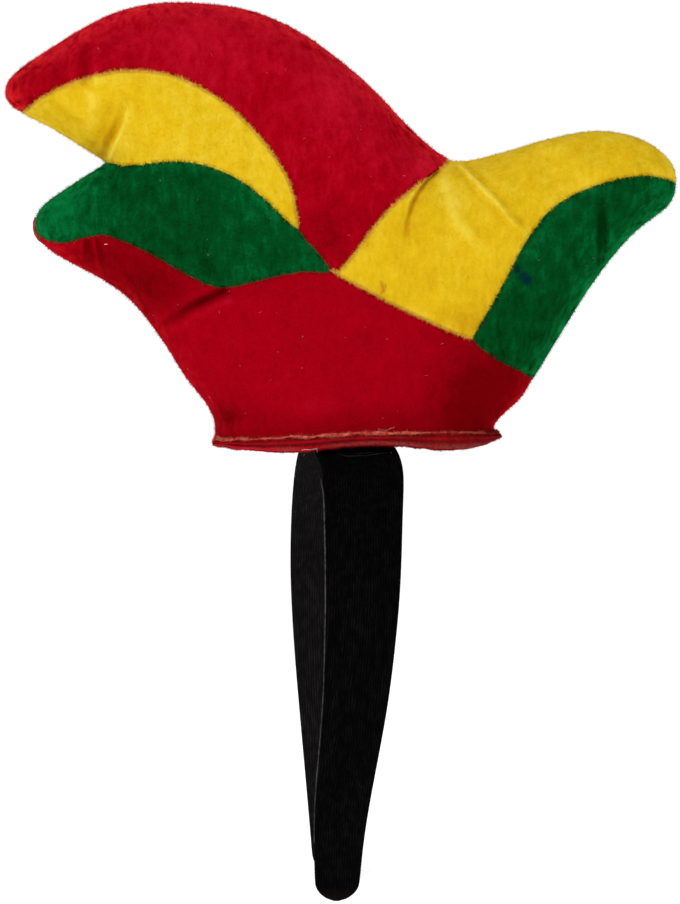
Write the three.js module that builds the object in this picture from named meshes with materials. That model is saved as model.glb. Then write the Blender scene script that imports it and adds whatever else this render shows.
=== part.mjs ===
// Carnival prince hat headband: a small pieced velour hat, closed by an oval underside,
// on a fabric covered hair band whose arch lies across the hat.
// Millimetres, +Z up. The wearer faces -X, so the hat's left side faces -Y and its right side +Y.
// The origin is the underside of the band's crown, where it rests on the head.

import * as THREE from "three";

// Cloth
const WALL = 2;
const RIM_DEPTH = 1.2;
const MIDPLANE_GAP = 0.15;
const SEAM_INSET = 0.15;

// How far a side stands out from the middle plane, by distance from the sewn edge and by height
const SWELL_WIDTH = 32;
const SWELL_POWER = 0.62;
const SWELL_HEIGHT = 17;
const FOOT_EXTRA = 5;
const FOOT_FALL = 35;
const SEAM_SINK = 0.6;
const SEAM_SINK_WIDTH = 2.2;

// The hem at the foot: a stitch line drawn in, and the raw edge below it turned out
const STITCH_RISE = 2.4;
const STITCH_SINK = 1.5;
const STITCH_WIDTH = 2.2;
const HEM_FLARE = 1.6;
const HEM_FLARE_HEIGHT = 1.2;

// The underside: a cloth wall that bows up over the band, with a flange that hangs below the hem
const PAD_WALL = 2.6;
const PAD_GAP = 0.3;
const PAD_CLEARANCE = 0.5;
const PAD_MARGIN = 0.4;
const PAD_ROUND = 0.7;
const RIM_SHARE = 0.6;
const PAD_STEPS = 22;
const PAD_ROWS = 10;
const FLANGE_FROM = 0.72;
const FLANGE_TO = 0.93;
const BOW_FROM = 15;
const BOW_TO = 30;

// The band
const BAND_THICKNESS = 3;
const BAND_CAMBER = 0.5;
const BAND_STEPS = 60;
const BAND_TWIST_CROWN_DEG = 1.7;
const BAND_TWIST_TIP_DEG = -4.2;
const BAND_TWIST_POWER = 1.6;
const BAND_RAKE = 0.026;
const BAND_SHIFT = 0.4;
const BAND_BEND = 1.5;
const BAND_BEND_AT = -28;
const BAND_BEND_REACH = 15;
const BAND_LEAN = 1.3;
const BAND_LEAN_FROM = 68;
const BAND_LEAN_TO = 116;
const TIP_STEPS = 5;
const TIP_START = 1.7;

// How far the hat's own zero height lies below the underside of the band's crown
const HAT_DROP = 4.5;

// Half of the band's arch: distance out from the middle, drop below the crown and width there
const ARCH = [
  { out: 0, down: 0, width: 25.2 },
  { out: 14, down: 1.5, width: 25.1 },
  { out: 30, down: 8.3, width: 24.5 },
  { out: 46, down: 22, width: 23.1 },
  { out: 56.5, down: 42, width: 21.8 },
  { out: 59.5, down: 64, width: 19.8 },
  { out: 56, down: 87, width: 17.5 },
  { out: 46, down: 111, width: 15.2 },
  { out: 31.5, down: 133, width: 12.8 },
];

// Points of the hat's pattern where edges and seams meet, as [x, z]
const CREST_POINT = [-97.2, 104.4];
const CREST_TURN = [-89.3, 123];
const FRONT_POINT = [-93, 68.8];
const FRONT_NOTCH = [-71.4, 89.8];
const BACK_NOTCH = [31.4, 91];
const BACK_POINT = [101.4, 84];
const CREST_FOOT = [-15.5, 68.4];
const CENTRE = [-5, 56.3];
const BACK_FORK = [35.3, 36.1];
const BACK_FOOT = [56.6, 24.2];
const HEM_FRONT = [-39.6, 7];
const HEM_BACK = [47.1, 8.9];

// Heights of the raw edge at the foot and of the flange's lower edge, as [x, z]
const HEM = [HEM_FRONT, [-28, 7.6], [-14, 8.5], [2, 9.4], [18, 9.6], [34, 9.5], HEM_BACK];
const FLANGE = [[-39.6, 5.6], [-33, 4.4], [-20, 2.9], [-8, 4.4], [2, 5.3], [14, 5.3], [27, 3.9], [40, 5.2],
  [47.1, 7.4]];

// The sewn outer edge of the hat, from the front of the hem round to its back
const EDGES = {
  frontSide: [HEM_FRONT, [-38.8, 11.2], [-41.1, 16.9], [-47.6, 25.1], [-55.1, 37.1], [-64.5, 48.9],
    [-72.7, 54.8], [-83.8, 60.7], [-89.9, 64.7], FRONT_POINT],
  frontTop: [FRONT_POINT, [-93.4, 72.3], [-91.5, 76.1], [-83.8, 81.8], [-74.8, 87.7], FRONT_NOTCH],
  crestUnder: [FRONT_NOTCH, [-77.6, 93.3], [-86.7, 99.2], CREST_POINT],
  crestTip: [CREST_POINT, [-100.6, 106.6], [-102.1, 109.7], [-101.8, 113], [-98.3, 116.7], CREST_TURN],
  crestTop: [CREST_TURN, [-80.9, 128.8], [-68.4, 134.8], [-53.6, 137.8], [-38.7, 137.2], [-27.2, 135.3],
    [-13.5, 129.3], [-1.3, 120.8], [9.2, 111.8], [17.5, 102.8], [26.8, 94], BACK_NOTCH],
  backTop: [BACK_NOTCH, [36, 90.9], [49.5, 94], [63.1, 98], [76.7, 100.1], [86.7, 98.7], [94.3, 95.4],
    [99.5, 90.4], BACK_POINT],
  backUnder: [BACK_POINT, [101.7, 79.6], [95.9, 75.5], [87.8, 69.7], [80.1, 60.6], [73.5, 51.6],
    [67.9, 42.6], [60.4, 30.5], BACK_FOOT],
  backSide: [BACK_FOOT, [53.4, 19], [47.4, 13.7], [45, 10.4], HEM_BACK],
};

// The seams between panels, the same on both sides
const SEAMS = {
  crestSeam: [CREST_POINT, [-85.1, 111.6], [-73.4, 115.3], [-63.1, 116.5], [-51.3, 114.7], [-39.5, 108.6],
    [-29.3, 99.7], [-21, 89], [-16.4, 79.4], CREST_FOOT],
  hornSeam: [FRONT_NOTCH, [-67.4, 88.2], [-58.8, 89.1], [-48.6, 89.5], [-38.2, 86.9], [-27.9, 81],
    [-19, 72.4], CREST_FOOT],
  footSeam: [CREST_FOOT, [-10.5, 63], CENTRE],
  frontSeam: [FRONT_POINT, [-86.7, 64.9], [-80.8, 66], [-73.5, 67.7], [-66.3, 65.5], [-54.7, 59.5],
    [-44.5, 53.4], [-37.9, 51.2], [-31.2, 52.9], [-22.3, 55.2], [-13.5, 57.1], CENTRE],
  backSeam: [CENTRE, [2.4, 65.5], [9.6, 74.8], [17.6, 81.9], [25.8, 86], BACK_NOTCH],
  baseSeam: [CENTRE, [10, 48.1], [23.2, 41.7], BACK_FORK],
  footBackSeam: [BACK_FORK, [45, 30.2], BACK_FOOT],
  tailSeam: [BACK_FORK, [39.9, 43.5], [45.7, 54.2], [51.4, 65.1], [57.4, 74], [63.6, 79.1], [74.3, 83.4],
    [83.7, 85.9], [91.9, 86.3], BACK_POINT],
};

// Folds drawn into the cloth. A negative depth stands out as a ridge.
const FOLDS = [
  { from: [-72.5, 90.5], to: [-66.5, 104.2], width: 2.4, depth: 2, sides: "both" },
  { from: [-68, 92.5], to: [-62, 104.2], width: 3, depth: -0.9, sides: "both" },
  { from: [-55.5, 42.7], to: [-38.5, 51.2], width: 3, depth: 1.7, sides: "left" },
  { from: [27.5, 85.5], to: [17, 69.7], width: 2.4, depth: 1.8, sides: "both" },
  { from: [33.5, 88], to: [48.5, 71.2], width: 2.4, depth: -1.1, sides: "both" },
  { from: [38, 88], to: [52, 74.7], width: 2.8, depth: 0.9, sides: "left" },
  { from: [76.5, 76], to: [77, 63], width: 2.4, depth: 1.7, sides: "left" },
  { from: [27, 14.7], to: [41, 16.2], width: 4.5, depth: 1.6, sides: "left" },
  { from: [-35, 12.4], to: [-33, 16.3], width: 4, depth: 1.2, sides: "left" },
];

// Pieces that each edge and seam is cut into, the same for the panels on both of its sides
const STEPS = {
  frontSide: 21,
  frontTop: 7,
  crestUnder: 6,
  crestTip: 6,
  crestTop: 21,
  backTop: 21,
  backUnder: 10,
  crestSeam: 18,
  hornSeam: 12,
  footSeam: 2,
  frontSeam: 21,
  baseSeam: 7,
  footBackSeam: 4,
  tailSeam: 14,
};
const HEM_STEPS = 11;
const CREST_DRAW = 0.77;
const BACK_DRAW = 1.8;

const RED = new THREE.MeshStandardMaterial({ color: 0xa3081a, roughness: 0.95, metalness: 0 });
const YELLOW = new THREE.MeshStandardMaterial({ color: 0xe2b81c, roughness: 0.95, metalness: 0 });
const GREEN = new THREE.MeshStandardMaterial({ color: 0x06542a, roughness: 0.95, metalness: 0 });
const BLACK = new THREE.MeshStandardMaterial({ color: 0x0c0c0d, roughness: 0.85, metalness: 0 });

// Curves
const CURVES = {};
for (const [name, points] of Object.entries({ ...EDGES, ...SEAMS })) {
  const knots = points.map(([x, z]) => new THREE.Vector3(x, 0, z));
  CURVES[name] = new THREE.CatmullRomCurve3(knots, false, "centripetal");
  CURVES[name].arcLengthDivisions = 400;
}

function run(name) {
  return CURVES[name].getSpacedPoints(STEPS[name]);
}

function runBack(name) {
  return run(name).reverse();
}

// Points along a curve, drawn towards its start by a power over 1 and towards its end by one under 1
function drawn(name, power) {
  const count = STEPS[name];
  return Array.from({ length: count + 1 }, (_, i) => CURVES[name].getPointAt((i / count) ** power));
}

function chain(...runs) {
  return runs.flatMap((points, i) => (i === 0 ? points : points.slice(1)));
}

// A smooth height by distance, through rows of [distance, height]
function heightCurve(rows) {
  const curve = new THREE.CubicInterpolant(rows.map(([place]) => place), rows.map(([, height]) => height), 1);
  return (place) => curve.evaluate(place)[0];
}

const hemHeight = heightCurve(HEM);
const flangeHeight = heightCurve(FLANGE);

function hemPoint(share) {
  const x = THREE.MathUtils.lerp(HEM_FRONT[0], HEM_BACK[0], share);
  return new THREE.Vector3(x, 0, hemHeight(x));
}

function hemLine() {
  return Array.from({ length: HEM_STEPS + 1 }, (_, i) => hemPoint(i / HEM_STEPS));
}

// Shares of a panel's height at its rows, closer together beside its edges
function rowShares(rows) {
  return Array.from({ length: rows + 1 }, (_, j) => (1 - Math.cos((Math.PI * j) / rows)) / 2);
}

function column(name, rows) {
  return rowShares(rows).map((share) => CURVES[name].getPointAt(share));
}

function sampled(names, spacing) {
  return names.map((name) => CURVES[name].getSpacedPoints(Math.ceil(CURVES[name].getLength() / spacing)));
}

// The shape of a side
const RIM_SPACING = 1;
const RIM_POWER = 4;
const RIM_SAMPLES = sampled(Object.keys(EDGES), RIM_SPACING).flat();
const SEAM_LINES = sampled(Object.keys(SEAMS), 3);

// A smooth distance from the sewn edge: exact beside a straight edge, rounded over where edges compete.
function edgeDistance(x, z) {
  let sum = 0;
  for (const point of RIM_SAMPLES) {
    const gap = Math.max((point.x - x) ** 2 + (point.z - z) ** 2, 0.01);
    sum += RIM_SPACING / gap ** (RIM_POWER / 2);
  }
  return ((sum * 2) / Math.PI) ** (-1 / (RIM_POWER - 1));
}

function segmentDistance(x, z, ax, az, bx, bz) {
  const along = ((x - ax) * (bx - ax) + (z - az) * (bz - az)) / ((bx - ax) ** 2 + (bz - az) ** 2);
  const t = THREE.MathUtils.clamp(along, 0, 1);
  return Math.hypot(x - ax - t * (bx - ax), z - az - t * (bz - az));
}

function seamDistance(x, z) {
  let nearest = Infinity;
  for (const line of SEAM_LINES) {
    for (let i = 1; i < line.length; i++) {
      const [a, b] = [line[i - 1], line[i]];
      nearest = Math.min(nearest, segmentDistance(x, z, a.x, a.z, b.x, b.z));
    }
  }
  return nearest;
}

function bell(distance, width) {
  return Math.exp(-((distance / width) ** 2));
}

// Distance of a side's outer face from the middle plane
function standOut(x, z, side) {
  const share = Math.min(edgeDistance(x, z) / SWELL_WIDTH, 1);
  const fullness = (1 - (1 - share) ** 2) ** SWELL_POWER;
  const rise = z - hemHeight(x);
  const height = SWELL_HEIGHT + FOOT_EXTRA * Math.exp(-rise / FOOT_FALL);
  let shift = HEM_FLARE * bell(rise, HEM_FLARE_HEIGHT) - STITCH_SINK * bell(rise - STITCH_RISE, STITCH_WIDTH);
  shift -= SEAM_SINK * bell(seamDistance(x, z), SEAM_SINK_WIDTH);
  for (const fold of FOLDS) {
    if (fold.sides === "both" || fold.sides === side) {
      shift -= fold.depth * bell(segmentDistance(x, z, ...fold.from, ...fold.to), fold.width);
    }
  }
  return RIM_DEPTH + height * fullness + shift * fullness;
}

// Distance of a side's inner face from the middle plane, a wall's thickness in along the slope
function standIn(x, z, side) {
  const step = 0.5;
  const slopeX = (standOut(x + step, z, side) - standOut(x - step, z, side)) / (2 * step);
  const below = Math.max(z - step, hemHeight(x));
  const slopeZ = (standOut(x, z + step, side) - standOut(x, below, side)) / (2 * step);
  return Math.max(standOut(x, z, side) - WALL * Math.hypot(1, slopeX, slopeZ), MIDPLANE_GAP);
}

// Moves each point of a closed loop inwards by the same distance, with the corners kept.
function insetLoop(loop, distance) {
  return loop.map((point, i) => {
    const before = loop[(i + loop.length - 1) % loop.length];
    const after = loop[(i + 1) % loop.length];
    const arriving = point.clone().sub(before).normalize();
    const leaving = after.clone().sub(point).normalize();
    const inward = new THREE.Vector3(-arriving.z - leaving.z, 0, arriving.x + leaving.x).normalize();
    const miter = Math.max(inward.z * arriving.x - inward.x * arriving.z, 0.15);
    return point.clone().addScaledVector(inward, distance / miter);
  });
}

// The four sides of a panel drawn in from its seams. A side that is a point has one entry.
function insetSides({ lower, upper, start = lower.slice(0, 1), end = lower.slice(-1) }) {
  const backwards = (points) => [...points].reverse().slice(1);
  const loop = [...lower, ...end.slice(1), ...backwards(upper), ...backwards(start)].slice(0, -1);
  const moved = insetLoop(loop, SEAM_INSET);
  const at = (i) => moved[i % moved.length];
  const last = lower.length - 1;
  const upperLast = last + end.length - 1;
  const upperFirst = upperLast + last;
  return {
    lower: lower.map((_, i) => at(i)),
    end: end.map((_, j) => at(last + j)),
    upper: upper.map((_, i) => at(upperFirst - i)),
    start: start.map((_, j) => at(upperFirst + start.length - 1 - j)),
  };
}

// Columns of points that fill a panel between its four sides
function panelGrid(pattern) {
  const { lower, upper, start, end } = insetSides(pattern);
  const last = lower.length - 1;
  return lower.map((low, i) =>
    rowShares(pattern.rows).map((v, j) => {
      const u = i / last;
      const blend = low.clone().lerp(upper[i], v);
      const sides = start[Math.min(j, start.length - 1)].clone().lerp(end[Math.min(j, end.length - 1)], u);
      const foot = lower[0].clone().lerp(lower[last], u);
      const head = upper[0].clone().lerp(upper[last], u);
      return blend.add(sides).sub(foot.lerp(head, v));
    }),
  );
}

// A closed solid from quads, whose repeated corners leave triangles
function solidFromQuads(quads, reversed) {
  const corners = [];
  for (const [a, b, c, d] of quads) {
    for (const triangle of [[a, b, c], [a, c, d]]) {
      const [p, q, r] = reversed ? [...triangle].reverse() : triangle;
      if (p.distanceTo(q) > 1e-6 && q.distanceTo(r) > 1e-6 && r.distanceTo(p) > 1e-6) {
        corners.push(p, q, r);
      }
    }
  }
  const geometry = new THREE.BufferGeometry().setFromPoints(corners);
  geometry.computeVertexNormals();
  return geometry;
}

// A closed solid between two faces, given as grids with the same columns and rows
function solidBetween(outer, inner, reversed) {
  const across = outer.length - 1;
  const up = outer[0].length - 1;
  const quads = [];
  for (let i = 0; i < across; i++) {
    for (let j = 0; j < up; j++) {
      quads.push([outer[i][j], outer[i + 1][j], outer[i + 1][j + 1], outer[i][j + 1]]);
      quads.push([inner[i][j], inner[i][j + 1], inner[i + 1][j + 1], inner[i + 1][j]]);
    }
    quads.push([outer[i][0], inner[i][0], inner[i + 1][0], outer[i + 1][0]]);
    quads.push([outer[i][up], outer[i + 1][up], inner[i + 1][up], inner[i][up]]);
  }
  for (let j = 0; j < up; j++) {
    quads.push([outer[0][j], outer[0][j + 1], inner[0][j + 1], inner[0][j]]);
    quads.push([outer[across][j], inner[across][j], inner[across][j + 1], outer[across][j + 1]]);
  }
  return solidFromQuads(quads, reversed);
}

function panelGeometry(grid, side) {
  const sign = side === "left" ? -1 : 1;
  const placed = (depth) =>
    grid.map((column) => column.map((p) => new THREE.Vector3(p.x, sign * depth(p.x, p.z, side), p.z)));
  return solidBetween(placed(standOut), placed(standIn), sign > 0);
}

// Panels of one side. Each fills the space between its lower and upper chains of edges and seams.
const BACK_ROWS = 7;
const BASE_ROWS = 9;
const PANELS = {
  crest_red: {
    material: RED,
    rows: 7,
    lower: chain(run("crestSeam"), run("footSeam"), column("backSeam", BACK_ROWS)),
    upper: chain(run("crestTip"), drawn("crestTop", CREST_DRAW)),
  },
  crest_yellow: {
    material: YELLOW,
    rows: 6,
    lower: chain(runBack("crestUnder"), run("hornSeam")),
    upper: run("crestSeam"),
  },
  front_horn_green: {
    material: GREEN,
    rows: 6,
    lower: run("frontSeam"),
    upper: chain(run("frontTop"), run("hornSeam"), run("footSeam")),
  },
  base_red: {
    material: RED,
    rows: BASE_ROWS,
    lower: chain(runBack("frontSide"), hemLine()),
    upper: chain(run("frontSeam"), run("baseSeam"), run("footBackSeam")),
    end: column("backSide", BASE_ROWS).reverse(),
  },
  back_horn_yellow: {
    material: YELLOW,
    rows: BACK_ROWS,
    lower: chain(run("baseSeam"), run("tailSeam")),
    upper: drawn("backTop", BACK_DRAW),
    start: column("backSeam", BACK_ROWS),
  },
  back_horn_green: {
    material: GREEN,
    rows: 5,
    lower: chain(run("footBackSeam"), runBack("backUnder")),
    upper: run("tailSeam"),
  },
};

const headpiece = new THREE.Group();
headpiece.name = "carnival_prince_hat_headband";
const hat = new THREE.Group();
hat.position.z = -HAT_DROP;
headpiece.add(hat);

function add(group, name, geometry, material) {
  const mesh = new THREE.Mesh(geometry, material);
  mesh.name = name;
  group.add(mesh);
}

for (const side of ["left", "right"]) {
  for (const [name, pattern] of Object.entries(PANELS)) {
    add(hat, `${name}_${side}`, panelGeometry(panelGrid(pattern), side), pattern.material);
  }
}

// The underside follows the hem on both sides and the top of the band between them.
const archDrop = heightCurve(ARCH.slice(0, 5).map((row) => [row.out, row.down]));

function archTop(y) {
  return HAT_DROP + BAND_THICKNESS + BAND_CAMBER - archDrop(Math.abs(y));
}

function overBand(x) {
  return 1 - THREE.MathUtils.smoothstep(Math.abs(x), BOW_FROM, BOW_TO);
}

function padTop(x, y) {
  const seat = hemHeight(x) - PAD_GAP;
  const bow = Math.max(archTop(y) + PAD_CLEARANCE + PAD_WALL - seat, 0);
  return seat + bow * overBand(x);
}

// The share runs from 0 on the middle line to 1 on the rim.
function padBottom(x, y, share) {
  const flange = THREE.MathUtils.smoothstep(share, FLANGE_FROM, FLANGE_TO);
  const inside = Math.max(padTop(x, y) - PAD_WALL, flangeHeight(x));
  const edge = THREE.MathUtils.lerp(inside, flangeHeight(x), flange);
  const bandTop = archTop(y) + PAD_CLEARANCE;
  return Math.max(edge, THREE.MathUtils.lerp(edge, bandTop, overBand(x)));
}

function padGeometry() {
  const upper = [];
  const lower = [];
  for (const { x, z } of rowShares(PAD_STEPS).map(hemPoint)) {
    const near = standOut(x, z, "left") + PAD_MARGIN;
    const far = standOut(x, z, "right") + PAD_MARGIN;
    const top = [];
    const bottom = [];
    for (const share of rowShares(PAD_ROWS).map((row) => 2 * row - 1)) {
      const y = share < 0 ? share * (near - PAD_ROUND) : share * (far - PAD_ROUND);
      top.push(new THREE.Vector3(x, y, padTop(x, y)));
      bottom.push(new THREE.Vector3(x, y, padBottom(x, y, Math.abs(share))));
    }
    upper.push(withRim(top, near, far, -1));
    lower.push(withRim(bottom, near, far, 1));
  }
  return solidBetween(upper, lower, false);
}

// A row across the underside with a rounded rim point added at each end
function withRim(row, near, far, turn) {
  const rimPoint = (point, y) => new THREE.Vector3(point.x, y, point.z + turn * RIM_SHARE * PAD_ROUND);
  return [rimPoint(row[0], -near), ...row, rimPoint(row.at(-1), far)];
}
add(hat, "base_pad", padGeometry(), RED);

// The band: a rounded strip carried along the arch, turned and raked a little, with round tips.
// Its left arm bends back a little where it leaves the crown and leans to the front below.
function bandGeometry() {
  const half = ARCH.slice(1);
  const rows = [...half.map((row) => ({ ...row, out: -row.out })).reverse(), ...ARCH];
  const path = new THREE.CatmullRomCurve3(rows.map((row) => new THREE.Vector3(0, row.out, -row.down)));
  path.arcLengthDivisions = 600;
  const widths = new THREE.CatmullRomCurve3(
    rows.map((row, i) => new THREE.Vector3(i / (rows.length - 1), row.width, 0)),
  );
  const length = path.getLength();
  const tipRadius = ARCH.at(-1).width / 2;
  const tipShares = [];
  for (let i = 0; i < TIP_STEPS; i++) {
    const angle = (Math.PI / 2) * ((i + TIP_START) / (TIP_STEPS + TIP_START));
    tipShares.push((tipRadius * (1 - Math.cos(angle))) / length);
  }
  const firstShare = tipRadius / length;
  const middle = Array.from({ length: BAND_STEPS + 1 }, (_, i) =>
    THREE.MathUtils.lerp(firstShare, 1 - firstShare, i / BAND_STEPS),
  );
  const shares = [...tipShares, ...middle, ...tipShares.map((share) => 1 - share).reverse()];
  const drop = ARCH.at(-1).down;
  const rings = shares.map((share) => {
    const fromTip = Math.min(Math.min(share, 1 - share) * length, tipRadius);
    const roundness = Math.sqrt(tipRadius ** 2 - (tipRadius - fromTip) ** 2) / tipRadius;
    const width = widths.getPoint(path.getUtoTmapping(share)).y * roundness;
    const centre = path.getPointAt(share);
    const tangent = path.getTangentAt(share);
    const twist = THREE.MathUtils.clamp(-centre.z / drop, 0, 1) ** BAND_TWIST_POWER;
    const turn = THREE.MathUtils.degToRad(
      THREE.MathUtils.lerp(BAND_TWIST_CROWN_DEG, BAND_TWIST_TIP_DEG, twist),
    );
    const outward = new THREE.Vector3(0, -tangent.z, tangent.y);
    const bend = BAND_BEND * Math.exp(-(((centre.y - BAND_BEND_AT) / BAND_BEND_REACH) ** 2));
    const leant = centre.y < 0 ? THREE.MathUtils.smoothstep(-centre.z, BAND_LEAN_FROM, BAND_LEAN_TO) : 0;
    return bandSection(width).map(([across, out]) => {
      const point = new THREE.Vector3(across, 0, 0).add(centre).addScaledVector(outward, out);
      point.applyAxisAngle(new THREE.Vector3(0, 0, 1), turn);
      point.x += BAND_SHIFT + bend - BAND_LEAN * leant + BAND_RAKE * centre.z;
      point.z += BAND_THICKNESS / 2;
      return point;
    });
  });
  const quads = [];
  for (let i = 1; i < rings.length; i++) {
    rings[i].forEach((point, k) => {
      const next = (k + 1) % rings[i].length;
      quads.push([rings[i - 1][k], rings[i - 1][next], rings[i][next], point]);
    });
  }
  for (const [ring, first] of [[rings[0], true], [rings.at(-1), false]]) {
    const middleOfRing = ring.reduce((sum, p) => sum.add(p), new THREE.Vector3()).divideScalar(ring.length);
    ring.forEach((point, k) => {
      const next = ring[(k + 1) % ring.length];
      const [start, end] = first ? [next, point] : [point, next];
      quads.push([middleOfRing, start, end, middleOfRing]);
    });
  }
  return solidFromQuads(quads, true);
}

// A section of the band as [across, out] points: flat inside, slightly crowned outside, round edges
function bandSection(width) {
  const edge = Math.min(BAND_THICKNESS / 2, width / 2.2);
  const flat = width / 2 - edge;
  const corner = edge * Math.SQRT1_2;
  const half = BAND_THICKNESS / 2;
  return [
    [-flat, -half],
    [-flat / 3, -half],
    [flat / 3, -half],
    [flat, -half],
    [flat + corner, -half * Math.SQRT1_2],
    [flat + edge, 0],
    [flat + corner, half * Math.SQRT1_2],
    [flat, half],
    [flat / 3, half + BAND_CAMBER],
    [-flat / 3, half + BAND_CAMBER],
    [-flat, half],
    [-flat - corner, half * Math.SQRT1_2],
    [-flat - edge, 0],
    [-flat - corner, -half * Math.SQRT1_2],
  ];
}
add(headpiece, "headband", bandGeometry(), BLACK);

export default headpiece;
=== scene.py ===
import math

import bmesh
import bpy
import numpy as np
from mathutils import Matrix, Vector, noise
from mathutils.kdtree import KDTree


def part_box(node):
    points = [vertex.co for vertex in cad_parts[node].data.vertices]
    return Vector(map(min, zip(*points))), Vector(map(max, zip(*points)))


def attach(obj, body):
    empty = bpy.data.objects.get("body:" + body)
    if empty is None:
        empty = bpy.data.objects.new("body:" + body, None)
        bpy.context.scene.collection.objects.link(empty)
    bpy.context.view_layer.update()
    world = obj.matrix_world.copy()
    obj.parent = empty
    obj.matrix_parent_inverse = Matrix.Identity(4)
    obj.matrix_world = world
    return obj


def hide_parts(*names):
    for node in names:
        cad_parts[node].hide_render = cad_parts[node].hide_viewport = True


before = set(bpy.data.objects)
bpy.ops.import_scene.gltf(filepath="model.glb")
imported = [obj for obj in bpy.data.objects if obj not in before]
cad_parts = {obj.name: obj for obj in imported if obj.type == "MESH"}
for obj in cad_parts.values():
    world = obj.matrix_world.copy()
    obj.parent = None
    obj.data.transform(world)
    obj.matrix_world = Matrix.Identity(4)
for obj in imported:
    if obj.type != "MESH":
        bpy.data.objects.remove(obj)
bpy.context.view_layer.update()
scene = bpy.context.scene
MM = 0.001


# The headband: a springy plastic strip in a tight cover of fine black rib knit.
# The ribs run along the strip, and the cover is drawn over the tips and closed at their ends.
BAND_TURN_CROWN = math.radians(1.7)
BAND_TURN_TIP = math.radians(-4.2)
BAND_TURN_POWER = 1.6
BAND_RAKE = 0.026
BAND_SHIFT = 0.4 * MM
BAND_BEND = 1.5 * MM
BAND_BEND_AT = -28 * MM
BAND_BEND_REACH = 15 * MM
BAND_LEAN = 1.3 * MM
BAND_LEAN_FROM = 68 * MM
BAND_LEAN_TO = 116 * MM
RIB_PITCH = 0.75 * MM
RIB_SWAY = 1.2 * MM
KNIT_OUTSIDE = ((0.0004, 0.0004, 0.0005, 1), (0.0105, 0.0092, 0.0096, 1))
KNIT_INSIDE = ((0.0032, 0.003, 0.0032, 1), (0.0265, 0.0235, 0.025, 1))
TIP_CAP = 3.5 * MM
TIP_BLACK = (0.0062, 0.0042, 0.0036, 1)
FAN_EDGES = 8
BAND_MIDDLE = -55 * MM
MERGE = 0.01 * MM


class Wire:
    """A value in a material. Arithmetic on it adds Math nodes, and add() adds any other node."""

    def __init__(self, tree, socket=None):
        self.tree = tree
        self.socket = socket

    def add(self, kind, sockets, out=0, **settings):
        node = self.tree.nodes.new(kind)
        for name, value in settings.items():
            setattr(node, name, value)
        for key, value in sockets.items():
            if isinstance(value, Wire):
                self.tree.links.new(value.socket, node.inputs[key])
            else:
                node.inputs[key].default_value = value
        return Wire(self.tree, node.outputs[out] if node.outputs else None)

    def math(self, operation, *values):
        return self.add("ShaderNodeMath", dict(enumerate(values)), operation=operation)

    def __add__(self, other):
        return self.math("ADD", self, other)

    def __radd__(self, other):
        return self.math("ADD", other, self)

    def __sub__(self, other):
        return self.math("SUBTRACT", self, other)

    def __rsub__(self, other):
        return self.math("SUBTRACT", other, self)

    def __mul__(self, other):
        return self.math("MULTIPLY", self, other)

    def __rmul__(self, other):
        return self.math("MULTIPLY", other, self)

    def clamped(self, low, high):
        return self.add("ShaderNodeMapRange", {0: self, 1: low, 2: high, 3: 0.0, 4: 1.0}, clamp=True)

    def blend(self, first, second):
        return self.add("ShaderNodeMix", {0: self, 6: first, 7: second}, out=2, data_type="RGBA")

    def noise(self, scale, detail=2.0, roughness=0.5):
        sockets = {"Vector": self, "Scale": scale, "Detail": detail, "Roughness": roughness}
        return self.add("ShaderNodeTexNoise", sockets)

    def stretched(self, x, y, z):
        return self.add("ShaderNodeMapping", {"Vector": self, "Scale": (x, y, z)})

    def part(self, axis):
        return self.add("ShaderNodeSeparateXYZ", {0: self}, out="XYZ".index(axis))

    def object_place(self):
        return self.add("ShaderNodeTexCoord", {}, out=3)

    def stored(self, name):
        return self.add("ShaderNodeAttribute", {}, out=2, attribute_name=name)


def new_material(name):
    material = bpy.data.materials.new(name)
    material.use_nodes = True
    material.node_tree.nodes.clear()
    return material, Wire(material.node_tree)


def finish_material(start, sockets):
    shader = start.add("ShaderNodeBsdfPrincipled", sockets)
    start.add("ShaderNodeOutputMaterial", {"Surface": shader})


def merged_copy(node):
    """A bmesh of a CAD node with its loose triangles joined."""
    bm = bmesh.new()
    bm.from_mesh(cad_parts[node].data)
    bmesh.ops.remove_doubles(bm, verts=bm.verts, dist=MERGE)
    bm.normal_update()
    return bm


def join_to_quads(bm, most_bend, most_skew):
    """Joins pairs of triangles, so that the mesh divides evenly."""
    bmesh.ops.join_triangles(
        bm, faces=bm.faces, angle_face_threshold=most_bend, angle_shape_threshold=most_skew
    )


def new_piece(name, bm, material):
    mesh = bpy.data.meshes.new(name)
    bm.to_mesh(mesh)
    bm.free()
    mesh.materials.append(material)
    mesh.shade_smooth()
    piece = bpy.data.objects.new(name, mesh)
    scene.collection.objects.link(piece)
    return piece


def apply_modifiers(piece):
    made = piece.evaluated_get(bpy.context.evaluated_depsgraph_get())
    mesh = bpy.data.meshes.new_from_object(made)
    old = piece.data
    piece.modifiers.clear()
    piece.data = mesh
    bpy.data.meshes.remove(old)


def subdivide(piece, levels):
    modifier = piece.modifiers.new("subdivision", "SUBSURF")
    modifier.levels = modifier.render_levels = levels
    modifier.boundary_smooth = "PRESERVE_CORNERS"
    apply_modifiers(piece)


def read_points(mesh):
    flat = np.empty(len(mesh.vertices) * 3, np.float32)
    mesh.vertices.foreach_get("co", flat)
    return flat.reshape(-1, 3).astype(float)


def read_normals(mesh):
    flat = np.empty(len(mesh.vertices) * 3, np.float32)
    mesh.vertex_normals.foreach_get("vector", flat)
    return flat.reshape(-1, 3).astype(float)


def write_points(mesh, points):
    mesh.vertices.foreach_set("co", points.astype(np.float32).ravel())
    mesh.update()


def write_values(mesh, name, values):
    mesh.attributes.new(name, "FLOAT", "POINT").data.foreach_set("value", values.astype(np.float32))


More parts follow.
